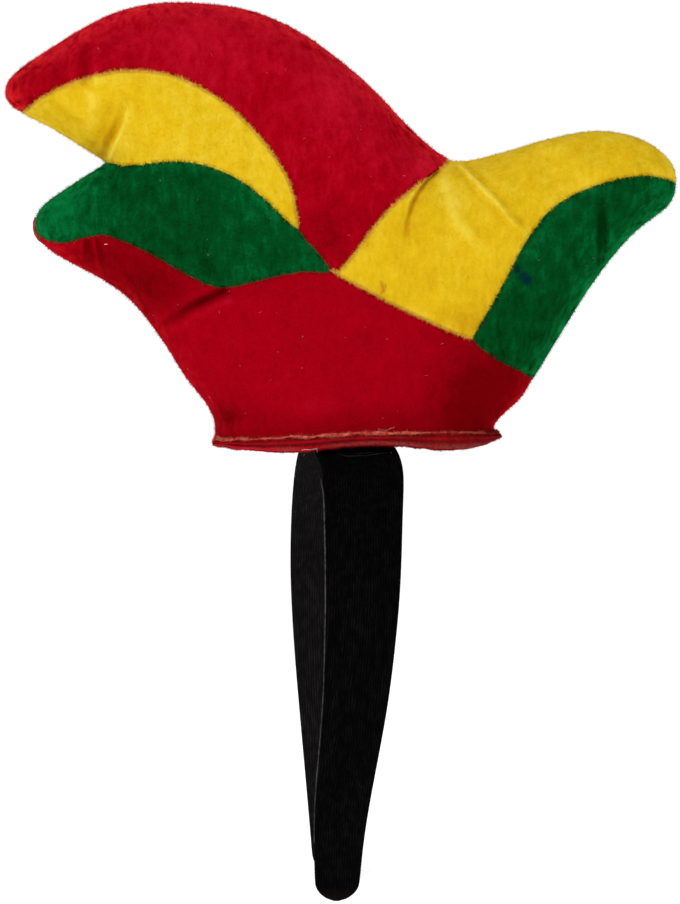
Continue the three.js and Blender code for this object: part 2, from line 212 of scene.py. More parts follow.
def bell(values, middle, width):
    return np.exp(-(((values - middle) / width) ** 2))


def knit_material(lowest):
    material, start = new_material("black_rib_knit")
    place = start.object_place()
    across = start.stored("across")
    inside = start.stored("inside")
    sway = place.stretched(1, 1, 0.5).noise(260, 2) - 0.5
    ribs = start.math("SINE", (across + sway * RIB_SWAY) * (2 * math.pi / RIB_PITCH))
    knitted = (place.part("Z") - lowest).clamped(0.2 * TIP_CAP, 1.3 * TIP_CAP)
    fuzz = place.noise(1400, 3, 0.6)
    flecks = place.stretched(1, 1, 0.4).noise(620, 3, 0.6).clamped(0.4, 0.68)
    worn = place.stretched(1, 1, 0.4).noise(90, 3)
    ribbed = ribs * 0.35 * knitted + 0.45
    flecked = flecks * 0.75 + 0.25
    lit = ribbed * flecked * fuzz.clamped(0.2, 0.7) * (worn * 1.6 + 0.2)
    knit = inside.blend(lit.blend(*KNIT_OUTSIDE), lit.blend(*KNIT_INSIDE))
    colour = knitted.blend(TIP_BLACK, knit)
    height = ribs * knitted * 0.5 + fuzz * 0.6
    normal = start.add("ShaderNodeBump", {"Strength": 0.6, "Distance": 0.25 * MM, "Height": height})
    finish_material(start, {
        "Base Color": colour,
        "Roughness": 0.85,
        "Specular IOR Level": 0.01,
        "Normal": normal,
    })
    return material


band_low, band_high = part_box("headband")
band_mesh = merged_copy("headband")
# The round ends of the tips are fans of triangles, whose middles are taken out
fan_centres = [vertex for vertex in band_mesh.verts if len(vertex.link_edges) > FAN_EDGES]
bmesh.ops.dissolve_verts(band_mesh, verts=fan_centres)
join_to_quads(band_mesh, 0.6, 1.5)
headband = new_piece("covered_headband", band_mesh, knit_material(band_low.z))
subdivide(headband, 2)
band_points = read_points(headband.data)
drop = np.clip((band_points[:, 2] - band_high.z) / (band_low.z - band_high.z), 0, 1)
turn = BAND_TURN_CROWN + (BAND_TURN_TIP - BAND_TURN_CROWN) * drop ** BAND_TURN_POWER
bend = BAND_BEND * bell(band_points[:, 1], BAND_BEND_AT, BAND_BEND_REACH)
leant = np.clip((-band_points[:, 2] - BAND_LEAN_FROM) / (BAND_LEAN_TO - BAND_LEAN_FROM), 0, 1)
lean = BAND_LEAN * leant ** 2 * (3 - 2 * leant) * (band_points[:, 1] < 0)
upright = band_points[:, 0] - BAND_SHIFT - bend + lean - BAND_RAKE * band_points[:, 2]
across = upright * np.cos(turn) + band_points[:, 1] * np.sin(turn)
write_values(headband.data, "across", across)
from_middle = band_points - np.array([0, 0, BAND_MIDDLE])
facing = np.sum(read_normals(headband.data) * from_middle, axis=1)
facing /= np.linalg.norm(from_middle, axis=1)
write_values(headband.data, "inside", np.clip(-3 * facing, 0, 1))
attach(headband, "root")
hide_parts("headband")


# The cover's edge: the knit is folded round the strip at the near arm's front edge, where the edge catches
# the light.
# A pale thread laid there is a painted highlight, from just under the hat to a little above the tip.
EDGE_TOP = -7 * MM
EDGE_END = -116 * MM
EDGE_STEP = 3 * MM
EDGE_RADIUS = 0.2 * MM
EDGE_END_STEPS = 6
EDGE_DARK = (0.018, 0.017, 0.017)
EDGE_HIGHLIGHT = (0.085, 0.08, 0.078)


def thread_material(name, dark, light, grain=900):
    material, start = new_material(name)
    place = start.object_place()
    colour = place.noise(grain, 3, 0.6).clamped(0.35, 0.65).blend((*dark, 1), (*light, 1))
    finish_material(start, {"Base Color": colour, "Roughness": 0.95, "Specular IOR Level": 0.05})
    return material


def thread_piece(name, strands, material, closed=False):
    """Threads that each follow a list of (point, radius), joined in one piece."""
    curve = bpy.data.curves.new(name, "CURVE")
    curve.dimensions = "3D"
    curve.bevel_depth = 1
    curve.bevel_resolution = 1
    curve.use_fill_caps = True
    for strand in strands:
        spline = curve.splines.new("POLY")
        spline.points.add(len(strand) - 1)
        spline.use_cyclic_u = closed
        for knot, (place, radius) in zip(spline.points, strand):
            knot.co = (*place, 1)
            knot.radius = radius
    holder = bpy.data.objects.new(name, curve)
    bm = bmesh.new()
    bm.from_mesh(holder.to_mesh())
    bmesh.ops.remove_doubles(bm, verts=bm.verts, dist=MERGE / 10)
    bmesh.ops.recalc_face_normals(bm, faces=bm.faces)
    bpy.data.objects.remove(holder)
    bpy.data.curves.remove(curve)
    piece = new_piece(name, bm, material)
    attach(piece, "root")
    return piece


near_arm = band_points[band_points[:, 1] < 0]
cover_edge = []
for height in np.arange(EDGE_TOP, EDGE_END, -EDGE_STEP):
    ring = near_arm[np.abs(near_arm[:, 2] - height) < EDGE_STEP]
    front = ring[np.argmin(ring[:, 0])]
    cover_edge.append(Vector((front[0], front[1], height)))
edge_strand = []
for index, point in enumerate(cover_edge):
    around = cover_edge[max(0, index - 1):index + 2]
    middle = sum(around, Vector()) / len(around)
    left = min(1, (len(cover_edge) - 1 - index) / EDGE_END_STEPS)
    uneven = 1 + 0.3 * noise.noise(middle / (4 * MM))
    edge_strand.append((middle, EDGE_RADIUS * (0.35 + 0.65 * left) * uneven))
# Painted highlight: the thread's pale colour stands for light on the arm's edge
EDGE_HIGHLIGHT_THREAD = thread_material("painted_edge_highlight", EDGE_DARK, EDGE_HIGHLIGHT)
thread_piece("edge_highlight_thread", [edge_strand], EDGE_HIGHLIGHT_THREAD)


# The underside: an oval of red velour, pile down, that closes the foot of the hat and is glued on the band.
# Its cut edge stands below the hem all round, raw and a little wavy.
RED_SHADES = ((0.16, 0.0002, 0.002), (0.335, 0.0003, 0.0065), (0.5, 0.006, 0.023))
RAW_BACKING = (0.24, 0.045, 0.04)
PAD_WAVE = 0.45 * MM
PAD_WAVE_LENGTH = 3.5 * MM
PAD_WEAR_LENGTH = 9 * MM
PAD_SHADED = 30 * MM
PAD_BARE = 0.12
RIM_CUTS = 4
RIM_UPRIGHT = 0.75


def velour_material(name, shades, depth=1.0, edge_sheen=None, stain=None, raw=None):
    """Velour in three shades of nap, some deeper than others, with painted light and shade from its tone
    attribute.

    An edge sheen is a colour and its shares beside the outline and the seams: a painted highlight where the
    pile is seen edge on.
    A stain is (x, z, reach) spots on the left side and a tint. A raw colour shows through worn pile."""
    deep, middle, light = ((*shade, 1) for shade in shades)
    material, start = new_material(name)
    place = start.object_place()
    tone = start.stored("tone")
    patches = place.stretched(1, 1, 0.6).noise(60, 3, 0.6)
    mottle = place.noise(230, 2, 0.5)
    strokes = place.stretched(1, 1, 0.35).noise(560, 3, 0.6)
    grain = place.noise(1500, 2, 0.6)
    uneven = patches * 0.3 + mottle * 0.3 + strokes * 0.35 + grain * 0.26 - 0.605
    # The nap's random unevenness, with the tone attribute's painted light and shade added
    nap = uneven * depth + tone * 0.2 + 0.5
    low = nap.clamped(0.3, 0.5).blend(deep, middle)
    colour = nap.clamped(0.5, 0.7).blend(low, light)
    if edge_sheen:
        sheen_colour, rim_share, seam_share = edge_sheen
        rim = start.stored("rim")
        seam = start.stored("seam")
        # Painted sheen: lighter beside the outline and the seams, broken up by the strokes
        bristle = (strokes * 0.6 + mottle * 0.4).clamped(0.38, 0.62)
        colour = ((rim * rim_share + seam * seam_share) * bristle).blend(colour, (*sheen_colour, 1))
    if stain:
        spots, tint = stain
        left = start.math("LESS_THAN", place.part("Y"), 0.0)
        ragged = (place.noise(900, 2) - 0.5) * 1.6 * MM
        for x, z, reach in spots:
            away_x = place.part("X") - x
            away_z = place.part("Z") - z
            away = start.math("SQRT", away_x * away_x + away_z * away_z) + ragged
            near = (1 - away.clamped(0.4 * reach, reach)) * left
            colour = (near * 0.7).blend(colour, (*tint, 1))
    if raw:
        bare = start.stored("raw")
        colour = (bare * grain.clamped(0.25, 0.6)).blend(colour, (*raw, 1))
    height = strokes * 0.4 + grain * 0.6
    normal = start.add("ShaderNodeBump", {"Strength": 0.3, "Distance": 0.3 * MM, "Height": height})
    finish_material(start, {
        "Base Color": colour,
        "Roughness": 0.95,
        "Specular IOR Level": 0.0,
        "Sheen Weight": 0.04,
        "Sheen Roughness": 0.45,
        "Sheen Tint": light,
        "Normal": normal,
    })
    return material


UNDERSIDE_VELOUR = velour_material("underside_velour", RED_SHADES, depth=0.7, raw=RAW_BACKING)
pad_mesh = merged_copy("base_pad")
join_to_quads(pad_mesh, 0.8, 1.5)
rim_edges = [
    edge for edge in pad_mesh.edges
    if abs(edge.verts[0].co.z - edge.verts[1].co.z) > 0.7 * edge.calc_length()
    and all(abs(face.normal.z) < 0.5 for face in edge.link_faces)
]
bmesh.ops.subdivide_edges(pad_mesh, edges=rim_edges, cuts=RIM_CUTS, use_grid_fill=True)
base_pad = new_piece("velour_underside", pad_mesh, UNDERSIDE_VELOUR)
subdivide(base_pad, 1)
pad_points = read_points(base_pad.data)
pad_normals = read_normals(base_pad.data)
pad_wave = np.array([noise.noise(Vector(point) / PAD_WAVE_LENGTH) for point in pad_points])
pad_wear = np.array([noise.noise(Vector(point) / PAD_WEAR_LENGTH) for point in pad_points])
on_rim = np.abs(pad_normals[:, 2]) < RIM_UPRIGHT
rim = pad_points[on_rim]
beside = np.abs(rim[:, None, 0] - rim[None, :, 0]) < 2 * MM
beside &= rim[:, None, 1] * rim[None, :, 1] > 0
rim_low = np.min(np.where(beside, rim[None, :, 2], np.inf), axis=1)
rim_high = np.max(np.where(beside, rim[None, :, 2], -np.inf), axis=1)
height = np.full(len(pad_points), -1.0)
height[on_rim] = (rim[:, 2] - rim_low) / np.maximum(rim_high - rim_low, 0.1 * MM)
split = bell(height, 0.45 + 0.12 * pad_wave, 0.1)
tuck = bell(height, 1, 0.18)
swell = bell(height, 0.72, 0.15)
to_back = np.clip(pad_points[:, 0] / PAD_SHADED, 0, 1)
to_front = np.clip(-pad_points[:, 0] / PAD_SHADED, 0, 1)
lower = bell(height, 0.14, 0.2)
relief = pad_wave * PAD_WAVE + (0.3 * swell - 0.5 * split - 0.5 * tuck) * MM
write_points(base_pad.data, pad_points + pad_normals * relief[:, None])
# Painted light and shade on the flange: shade in its groove, under the roll and towards the back, light on
# its swell and low at the front
pad_light_and_shade = 0.3 * swell + 1.3 * lower * to_front - 0.9 * split - 0.6 * tuck
write_values(base_pad.data, "tone", pad_light_and_shade - 0.5 - 0.5 * to_back)
worn_off = lower * np.clip(0.25 + 0.6 * to_back + pad_wear, 0, 1)
write_values(base_pad.data, "raw", np.clip(worn_off + PAD_BARE * on_rim, 0, 1))
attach(base_pad, "root")
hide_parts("base_pad")


# The hat: six velour panels to a side, sewn together edge to edge and round the outline over soft padding.
# The panels are worked as one sewn shell, so that seams meet, and then parted along the seams again.
YELLOW_SHADES = ((0.56, 0.30, 0.004), (0.69, 0.445, 0.008), (0.80, 0.60, 0.05))
GREEN_SHADES = ((0.0008, 0.028, 0.004), (0.0008, 0.062, 0.0115), (0.001, 0.14, 0.036))
INK_SPOTS = [
    (49.6 * MM, 53.2 * MM, 1.7 * MM),
    (52 * MM, 51 * MM, 2.3 * MM),
    (53 * MM, 49.6 * MM, 1.6 * MM),
]
INK = (0.001, 0.011, 0.028)
# Colours of the painted sheen beside the outline and the seams
RED_EDGE_SHEEN = (0.8, 0.022, 0.024)
YELLOW_EDGE_SHEEN = (0.80, 0.56, 0.05)
GREEN_EDGE_SHEEN = (0.006, 0.24, 0.055)
RED_VELOUR = velour_material("red_velour", RED_SHADES, 0.6, (RED_EDGE_SHEEN, 1.3, 0.0))
EVEN_RED_VELOUR = velour_material("even_red_velour", RED_SHADES, 0.25, (RED_EDGE_SHEEN, 0.3, 0.0))
YELLOW_VELOUR = velour_material("yellow_velour", YELLOW_SHADES, 0.6, (YELLOW_EDGE_SHEEN, 0.6, 0.5))
GREEN_VELOUR = velour_material(
    "green_velour", GREEN_SHADES, 1.0, (GREEN_EDGE_SHEEN, 1.0, 0.25), (INK_SPOTS, INK)
)
PANELS = {
    "crest_red": (RED_VELOUR, "red_velour"),
    "crest_yellow": (YELLOW_VELOUR, "yellow_velour"),
    "front_horn_green": (GREEN_VELOUR, "green_velour"),
    "base_red": (EVEN_RED_VELOUR, "red_velour"),
    "back_horn_yellow": (YELLOW_VELOUR, "yellow_velour"),
    "back_horn_green": (GREEN_VELOUR, "green_velour"),
}
SIDES = {"left": -1, "right": 1}
HAT_NODES = [(f"{panel}_{side}", outward) for side, outward in SIDES.items() for panel in PANELS]
CLOTH_WALL = 1.5 * MM
WALL_EDGE = math.radians(55)
FOOT_TOP = 6.5 * MM
FOOT_RIM = 14 * MM
SHARP = math.radians(50)
FLAT = 0.8
RIM_REACH = 3.2 * MM
FOOT_RIM_REACH = 4.6 * MM
RIM_CREASE = 0.75
RIM_CORNER = math.radians(45)
ON_OUTLINE = 0.1 * MM
SEWN_GAPS = (0.6 * MM, 2.2 * MM)
EDGE_ON = 0.02


def panel_name(node):
    return node.rsplit("_", 1)[0]


def outer_skin(node, outward):
    """The outer face of a panel's solid, with its edge on the outline carried to the middle plane."""
    bm = merged_copy(node)
    start = max(bm.faces, key=lambda face: face.normal.y * outward)
    skin = {start}
    edge_faces = [start]
    while edge_faces:
        face = edge_faces.pop()
        for other in (other for edge in face.edges for other in edge.link_faces):
            facing = other.normal.y * outward
            smooth = facing > FLAT or face.normal.angle(other.normal) < SHARP
            if other not in skin and facing > EDGE_ON and smooth:
                skin.add(other)
                edge_faces.append(other)
    bmesh.ops.delete(bm, geom=[face for face in bm.faces if face not in skin], context="FACES")
    rim = [
        vertex for vertex in bm.verts
        if vertex.is_boundary
        and abs(vertex.co.y) < (RIM_REACH if vertex.co.z > FOOT_RIM else FOOT_RIM_REACH)
    ]
    for vertex in rim:
        vertex.co.y = 0
    join_to_quads(bm, 1.2, 2.5)
    return bm


def sewn_shell():
    shell = bmesh.new()
    for index, (node, outward) in enumerate(HAT_NODES):
        skin = outer_skin(node, outward)
        layer = skin.faces.layers.int.new("panel")
        for face in skin.faces:
            face[layer] = index
        holder = bpy.data.meshes.new("skin")
        skin.to_mesh(holder)
        skin.free()
        shell.from_mesh(holder)
        bpy.data.meshes.remove(holder)
    for reach in SEWN_GAPS:
        loose = [
            vertex for vertex in shell.verts
            if vertex.is_boundary and (vertex.co.z > FOOT_TOP or abs(vertex.co.y) < ON_OUTLINE)
        ]
        bmesh.ops.remove_doubles(shell, verts=loose, dist=reach)
    crease = shell.edges.layers.float.new("crease_edge")
    corner = shell.verts.layers.float.new("crease_vert")
    outline = {
        edge for edge in shell.edges if all(abs(vertex.co.y) < ON_OUTLINE for vertex in edge.verts)
    }
    for edge in outline:
        edge[crease] = RIM_CREASE
    for vertex in {vertex for edge in outline for vertex in edge.verts}:
        ways = [edge.other_vert(vertex).co - vertex.co for edge in vertex.link_edges if edge in outline]
        if len(ways) == 2 and ways[0].angle(-ways[1]) > RIM_CORNER:
            vertex[corner] = 1
    return shell


hat = new_piece("hat_shell", sewn_shell(), RED_VELOUR)
subdivide(hat, 1)


def sewn_vertices(mesh):
    """Numbers of the vertices on seams, on the outline and on the hem."""
    bm = bmesh.new()
    bm.from_mesh(mesh)
    layer = bm.faces.layers.int["panel"]
    found = set()
    for edge in bm.edges:
        if len({face[layer] for face in edge.link_faces}) != 1 or edge.is_boundary:
            found.update(vertex.index for vertex in edge.verts)
    bm.free()
    return sorted(found)


# The padding presses the cloth out between the seams, and the slack in it gathers into soft folds.
PADDING_FRAMES = 14
PADDING_PRESSURE = 2.0
PADDING_SLACK = 0.025
PADDING_QUALITY = 8
PADDING_MOST = 1.1 * MM
SEAM_HOLD = 4 * MM


def search_tree(points, numbers):
    tree = KDTree(len(numbers))
    for number in numbers:
        tree.insert(points[number], int(number))
    tree.balance()
    return tree


def press_out(piece):
    before = read_points(piece.data)
    held = piece.vertex_groups.new(name="sewn")
    sewn = sewn_vertices(piece.data)
    held.add(sewn, 1.0, "REPLACE")
    cloth = piece.modifiers.new("padding", "CLOTH")
    cloth.settings.vertex_group_mass = "sewn"
    cloth.settings.use_pressure = True
    cloth.settings.uniform_pressure_force = PADDING_PRESSURE
    cloth.settings.effector_weights.gravity = 0
    cloth.settings.shrink_min = -PADDING_SLACK
    cloth.settings.quality = PADDING_QUALITY
    cloth.point_cache.frame_start = 1
    cloth.point_cache.frame_end = PADDING_FRAMES
    for moment in range(1, PADDING_FRAMES + 1):
        scene.frame_set(moment)
    apply_modifiers(piece)
    scene.frame_set(1)
    piece.vertex_groups.clear()
    moved = read_points(piece.data) - before
    reach = np.linalg.norm(moved, axis=1, keepdims=True)
    moved *= np.minimum(1, PADDING_MOST / np.maximum(reach, 1e-9))
    seams = search_tree(before, sewn)
    from_seam = np.array([seams.find(point)[2] for point in before])
    write_points(piece.data, before + moved * np.clip(from_seam / SEAM_HOLD, 0, 1)[:, None])


press_out(hat)
subdivide(hat, 1)

# Creases and ridges in the cloth: a path of (x, z) that fades towards its end, its ridges, and the sides
# that it is on. A ridge is an offset to the path's right hand, a height, a width, and how much lighter or
# darker it is painted there: painted shade in the creases, painted highlights on the ridges and the crest's
# top.
# Lengths are in millimetres.
BOTH = (-1, 1)
LEFT = (-1,)
FOLDS = [
    ([(-71.7, 84.9), (-70.1, 89.8), (-68.6, 92.8), (-67.6, 95.1), (-66.8, 97.8), (-65.9, 101.8)],
     [(-4.2, -0.3, 3.0, -0.5), (-1.2, -1.8, 1.1, -1.0), (0.7, 1.1, 0.7, 1.1), (2.6, 0.3, 2.0, 0.3)], BOTH),
    ([(-76, 104.3), (-75.7, 99.4), (-75.3, 90.7)], [(0, 0.7, 2.0, 0.6)], LEFT),
    ([(-78, 108), (-78, 114), (-78.5, 121)],
     [(0, -0.8, 1.3, -0.5), (3.2, 0.6, 1.5, 0.4), (-3.5, 0.5, 1.5, 0.4)], LEFT),
    ([(-37.9, 47.2), (-47.4, 42.7), (-54.8, 37.5), (-56, 35)],
     [(1.2, 0.4, 1.6, 0.3), (-0.8, -1.8, 1.3, -1.0), (-3.4, 1.0, 2.0, 0.4)], LEFT),
    ([(-75.1, 76.7), (-75.3, 64.7)], [(0, 0.4, 1.0, 0.4), (1.2, -0.4, 1.0, -0.4)], LEFT),
    ([(-71.7, 83), (-72.1, 71.5)], [(0, 0.5, 1.2, 0.4), (-2, -0.4, 1.2, -0.3)], LEFT),
    ([(-77.4, 60.9), (-77, 54.7)], [(0, -0.9, 1.3, -0.9), (1.6, 0.3, 0.8, 0.4)], LEFT),
    ([(-74.4, 60.9), (-71.8, 50.7)], [(0, -0.7, 0.7, -0.7), (1.1, 0.3, 0.8, 0.4)], LEFT),
    ([(26.6, 82.3), (23.6, 80.1), (20.9, 76.5), (18.6, 72.7), (17.5, 69.1), (16.8, 65.9), (16.2, 60)],
     [(3.4, 0.6, 2.6, 0.3), (1.0, 0.5, 0.7, 0.5), (0, -1.7, 0.8, -1.3), (-1.8, 0, 1.6, -0.4)], BOTH),
    ([(28.2, 80.4), (30.2, 72.4), (31.3, 67.1), (35.6, 62.6), (42, 56.5)], [(0, 0.9, 2.2, 0.8)], LEFT),
    ([(34.6, 84.1), (39, 78.2), (43.1, 73.9), (47.4, 68.5), (53, 63.5)],
     [(0, 1.3, 0.9, 1.0), (-2.0, -0.8, 1.4, -0.5), (2.2, -0.4, 1.5, -0.3)], BOTH),
    ([(77.1, 57), (77.1, 60.3), (76.5, 64.7), (75.9, 69.1), (75.4, 76)],
     [(2.6, 0.6, 1.4, 0.5), (0, -1.8, 1.7, -1.3), (-2.6, 0.5, 1.2, 0.3)], LEFT),
    ([(-90, 116), (-70, 128.5), (-53, 132.5), (-30, 130), (-10, 122), (8, 107), (26, 90)],
     [(0, 0, 3, 0.5)], BOTH),
    ([(-36, 9.6), (-31, 10.4)], [(0, -0.9, 1.6, -0.4)], LEFT),
    ([(39.4, 10.5), (26.6, 12.2)], [(0, -0.9, 2.0, -0.4)], LEFT),
]
FOLD_MARGINS = (4.5 * MM, 2.6 * MM)
FOLD_START = 1.4 * MM
FULL_DEPTH = 3.5 * MM
SOFT_WAVE = 0.5 * MM
SOFT_WAVE_LENGTH = 17 * MM
RIM_SHEEN_REACH = 2.2 * MM
SEAM_SHEEN_REACH = 1.6 * MM

# Patches of painted light and shade, where the cloth turns towards or away from the light, by the hem and
# beside folds:
# a middle and a reach in x and z, in millimetres, how much lighter or darker it is painted, and the sides.
PAINTED_LIGHT_PATCHES = [
    ((40, 12), (17, 12), -0.9, LEFT),
    ((35, 25), (12, 10), -0.3, LEFT),
    ((0, 7), (45, 6), -0.5, BOTH),
    ((23, 84.5), (5, 4), 0.8, LEFT),
    ((-85, 73), (9, 9), 0.7, LEFT),
    ((-45, 70), (20, 12), -0.3, LEFT),
    ((-59, 48), (15, 9), -0.8, LEFT),
    ((-74, 58), (7, 5), -0.6, LEFT),
    ((44, 17), (9, 8), -0.6, LEFT),
    ((-6.5, 63), (6, 7), -0.7, BOTH),
    ((-25, 104.6), (6, 9), -0.4, LEFT),
    ((14.7, 64.7), (5, 9), -0.4, LEFT),
    ((32.5, 38), (6, 4), -0.7, BOTH),
    ((76, 63), (3, 8), -0.6, LEFT),
    ((-44, 121), (14, 8), 0.3, LEFT),
    ((-3, 106), (6, 8), 0.5, LEFT),
    ((40, 76.5), (9, 7), 0.4, LEFT),
    ((-10, 11.5), (11, 5), 0.4, LEFT),
    ((10, 27), (60, 30), -0.1, BOTH),
    ((-30, 112), (65, 32), 0.25, BOTH),
    ((-37, 8), (4, 6), -0.6, LEFT),
    ((-80, 102), (24, 22), -0.3, LEFT),
    ((-70, 55), (18, 12), -0.25, LEFT),
    ((62, 38), (24, 24), -0.25, LEFT),
]


def path_offsets(points, path):
    """How far each point is to the right of a path, its share along it, and how far behind the start."""
    knots = np.array(path) * MM
    lengths = np.linalg.norm(np.diff(knots, axis=0), axis=1)
    starts = np.concatenate([[0], np.cumsum(lengths)])
    nearest = np.full(len(points), np.inf)
    offset = np.zeros(len(points))
    share = np.zeros(len(points))
    behind = np.zeros(len(points))
    flat = points[:, [0, 2]]
    for first, last, length, begun in zip(knots[:-1], knots[1:], lengths, starts):
        along = (last - first) / length
        place = (flat - first) @ along
        reached = np.clip(place, 0, length)
        gap = flat - first - reached[:, None] * along
        distance = np.linalg.norm(gap, axis=1)
        aside = (flat - first) @ np.array([along[1], -along[0]])
        before = np.maximum(0, -place) if begun == 0 else np.zeros(len(points))
        closer = distance < nearest
        nearest[closer] = distance[closer]
        offset[closer] = np.where(before > 0, aside, distance * np.sign(aside))[closer]
        share[closer] = ((begun + reached) / starts[-1])[closer]
        behind[closer] = before[closer]
    return offset, share, behind


def refine_folds(mesh, margin):
    """Splits the faces round the folds, so that a crease has enough of them."""
    bm = bmesh.new()
    bm.from_mesh(mesh)
    centres = np.array([face.calc_center_median() for face in bm.faces])
    near = np.zeros(len(centres), bool)
    for path, ridges, sides in FOLDS:
        offset, share, behind = path_offsets(centres, path)
        for side in sides:
            near |= (np.abs(offset) < margin) & (behind < margin) & (centres[:, 1] * side > 0)
    edges = {edge for face, wanted in zip(bm.faces, near) if wanted for edge in face.edges}
    bmesh.ops.subdivide_edges(bm, edges=list(edges), cuts=1, use_grid_fill=True)
    bm.to_mesh(mesh)
    bm.free()


def draw_folds(mesh):
    """Moves the cloth out or in along its folds and keeps the painted light and shade at each point."""
    points = read_points(mesh)
    shift = np.zeros(len(points))
    tone = np.zeros(len(points))
    for path, ridges, sides in FOLDS:
        offset, share, behind = path_offsets(points, path)
        fade = np.cos(share * math.pi / 2) ** 0.7 * np.exp(-(behind / FOLD_START) ** 2)
        fade *= np.isin(np.sign(points[:, 1]), sides)
        for place, rise, width, light_and_shade in ridges:
            ridge = bell(offset, place * MM, width * MM) * fade
            shift += rise * MM * ridge
            tone += light_and_shade * ridge
    # Painted light and shade of the patches
    for (x, z), (reach_x, reach_z), light_and_shade, sides in PAINTED_LIGHT_PATCHES:
        away = ((points[:, 0] / MM - x) / reach_x) ** 2 + ((points[:, 2] / MM - z) / reach_z) ** 2
        tone += light_and_shade * np.exp(-away) * np.isin(np.sign(points[:, 1]), sides)
    waves = np.array([noise.noise(Vector(point) / SOFT_WAVE_LENGTH) for point in points])
    inside = np.clip(np.abs(points[:, 1]) / FULL_DEPTH, 0, 1)
    outwards = np.column_stack([np.zeros(len(points)), np.sign(points[:, 1]), np.zeros(len(points))])
    write_points(mesh, points + outwards * ((shift + waves * SOFT_WAVE) * inside)[:, None])
    write_values(mesh, "tone", tone)


def closeness(mesh, numbers, reach):
    """How close each point is, seen from the side, to the nearest of some vertices: 1 on it, 0 far off."""
    flat = read_points(mesh) * np.array([1, 0, 1])
    tree = search_tree(flat, numbers)
    return np.exp(-np.array([tree.find(point)[2] for point in flat]) / reach)


def mark_edges(mesh):
    """Keeps how close each point is to the hat's outline and to its seams, where the painted sheen lies."""
    depth = np.abs(read_points(mesh)[:, 1])
    sewn = np.array(sewn_vertices(mesh))
    write_values(mesh, "rim", closeness(mesh, sewn[depth[sewn] < ON_OUTLINE], RIM_SHEEN_REACH))
    write_values(mesh, "seam", closeness(mesh, sewn[depth[sewn] > ON_OUTLINE], SEAM_SHEEN_REACH))


for margin in FOLD_MARGINS:
    refine_folds(hat.data, margin)
draw_folds(hat.data)
mark_edges(hat.data)

for index, (node, outward) in enumerate(HAT_NODES):
    material, slot = PANELS[panel_name(node)]
    bm = bmesh.new()
    bm.from_mesh(hat.data)
    layer = bm.faces.layers.int["panel"]
    others = [face for face in bm.faces if face[layer] != index]
    bmesh.ops.delete(bm, geom=others, context="FACES")
    piece = new_piece(f"velour_{node}", bm, material)
    wall = piece.modifiers.new("wall", "SOLIDIFY")
    wall.thickness = CLOTH_WALL
    wall.offset = -1
    apply_modifiers(piece)
    piece.data.set_sharp_from_angle(angle=WALL_EDGE)
    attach(piece, "root")
    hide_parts(node)


# The hem: the raw edge of the cloth, rolled at the foot, where the tan backing of the velour shows.
# It runs all round between the panels and the underside, thick where it is worn and thin elsewhere.
HEM_RADIUS = 0.26 * MM
HEM_SINK = 0.35 * MM
HEM_OUT = 0.38 * MM
HEM_WOBBLE = 0.5 * MM
TAN_PALE = ((0.76, 0.2, 0.115, 1), (0.4, 0.055, 0.034, 1))
TAN_DEEP = ((0.43, 0.024, 0.025, 1), (0.24, 0.01, 0.011, 1))
TAN_SHADED = 46 * MM
# Worn places along the left side: from and to in x, and how much thicker the backing shows
WORN_HEM = [
    (-36, -29, 0.45),
    (-17, -12, 0.2),
    (-9, 1, 0.38),
    (3, 10.5, 0.45),
    (13, 19, 0.3),
    (25, 34, 0.3),
    (38, 43, 0.25),
]
# At both ends of the hat the edges of the two sides are bunched into a thick roll
FRONT_ROLL = 1.4 * MM
BACK_ROLL = 0.9 * MM
ROLL_REACH = 2.4 * MM
ROLL_IN = 0.9
RIGHT_WEAR = 0.45


def open_loop(mesh):
    """The points along a mesh's one open edge, in order."""
    bm = bmesh.new()
    bm.from_mesh(mesh)
    first = next(edge for edge in bm.edges if edge.is_boundary)
    edge, vertex = first, first.verts[0]
    loop = []
    while not loop or edge != first:
        loop.append(vertex.co.copy())
        vertex = edge.other_vert(vertex)
        edge = next(other for other in vertex.link_edges if other.is_boundary and other != edge)
    bm.free()
    return loop


def outward_at(loop, index):
    along = loop[(index + 1) % len(loop)] - loop[index - 1]
    side = Vector((along.y, -along.x, 0)).normalized()
    return side if side.dot(loop[index] - sum(loop, Vector()) / len(loop)) > 0 else -side


def worn_at(point):
    if point.y > 0:
        return RIGHT_WEAR * max(0, noise.noise(point / (11 * MM)) + 0.3)
    shares = [
        more * min(1, (point.x / MM - first + 1) / 2, (last + 1 - point.x / MM) / 2)
        for first, last, more in WORN_HEM if first - 1 < point.x / MM < last + 1
    ]
    return max(shares, default=0)


hem = open_loop(hat.data)
hem_front = min(point.x for point in hem)
hem_back = max(point.x for point in hem)
hem_strand = []
for index, point in enumerate(hem):
    wobble = noise.noise(point / (5 * MM) + Vector((7, 0, 0)))
    wobble += 0.5 * noise.noise(point / (1.6 * MM))
    radius = HEM_RADIUS + worn_at(point) * MM * (0.8 + 0.5 * noise.noise(point / (2 * MM)))
    roll = FRONT_ROLL * bell(point.x, hem_front, ROLL_REACH)
    roll += BACK_ROLL * bell(point.x, hem_back, ROLL_REACH)
    beside_edge = outward_at(hem, index) * (HEM_OUT - ROLL_IN * roll)
    above_edge = Vector((0, 0, wobble * HEM_WOBBLE - HEM_SINK))
    hem_strand.append((point + beside_edge + above_edge, radius + roll))


def backing_material():
    material, start = new_material("tan_backing")
    place = start.object_place()
    shaded = place.part("X").clamped(0, TAN_SHADED)
    pale = shaded.blend(*TAN_PALE)
    deep = shaded.blend(*TAN_DEEP)
    colour = place.noise(520, 3, 0.65).clamped(0.38, 0.66).blend(deep, pale)
    finish_material(start, {"Base Color": colour, "Roughness": 0.95, "Specular IOR Level": 0.0})
    return material


BACKING = backing_material()
hem_backing = thread_piece("hem_backing", [hem_strand], BACKING, closed=True)


